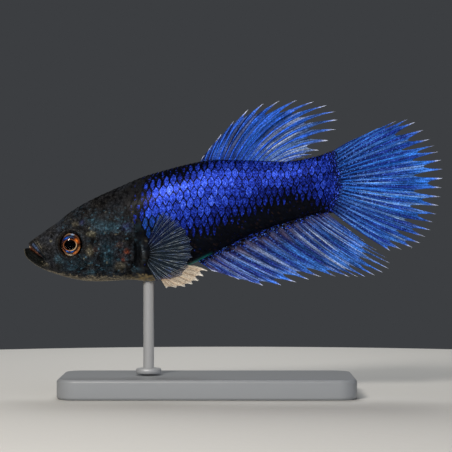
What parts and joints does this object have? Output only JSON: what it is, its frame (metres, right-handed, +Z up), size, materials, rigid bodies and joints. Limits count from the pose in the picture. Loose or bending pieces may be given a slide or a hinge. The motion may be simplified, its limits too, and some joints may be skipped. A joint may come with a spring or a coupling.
{
  "type": "betta fish display model",
  "caption": "Life-size model of a crowntail betta fish swimming, with spiky fringed fins, held by a thin rod on a flat base.",
  "frame": {"origin": "centre of the model's box at the underside of the display base", "axes": "+Z up, the fish's snout points along -X and its tail along +X, its left side faces -Y"},
  "size_m": [0.0629, 0.02, 0.0443],
  "materials": {
    "head_skin": "satin charcoal skin with small embedded scales and teal flecks",
    "flank_scales": "glossy iridescent cobalt scales over black skin",
    "fin_blue": "satin cobalt and azure fin web with pale ray tips",
    "fin_clear": "clear smoky fin web with pale rays",
    "fin_pale": "soft cream and peach fin rays",
    "eye": "glossy black pupil in a copper and blue iris",
    "stand_base": "satin cast acrylic with eased edges",
    "stand_rod": "drawn stainless wire"
  },
  "bodies": {
    "root": {"head": "head_skin", "lower_jaw": "head_skin", "gill_cover_left": "head_skin", "gill_cover_right": "head_skin", "trunk": "flank_scales", "tail_stalk": "flank_scales", "eye_left": "eye", "eye_right": "eye", "dorsal_fin": "fin_blue", "anal_fin": "fin_blue", "tail_fin": "fin_blue", "pectoral_fin_left": "fin_clear", "pectoral_fin_right": "fin_clear", "pelvic_fin_left": "fin_pale", "pelvic_fin_right": "fin_pale", "stand_base": "stand_base", "stand_rod": "stand_rod"}
  },
  "joints": []
}
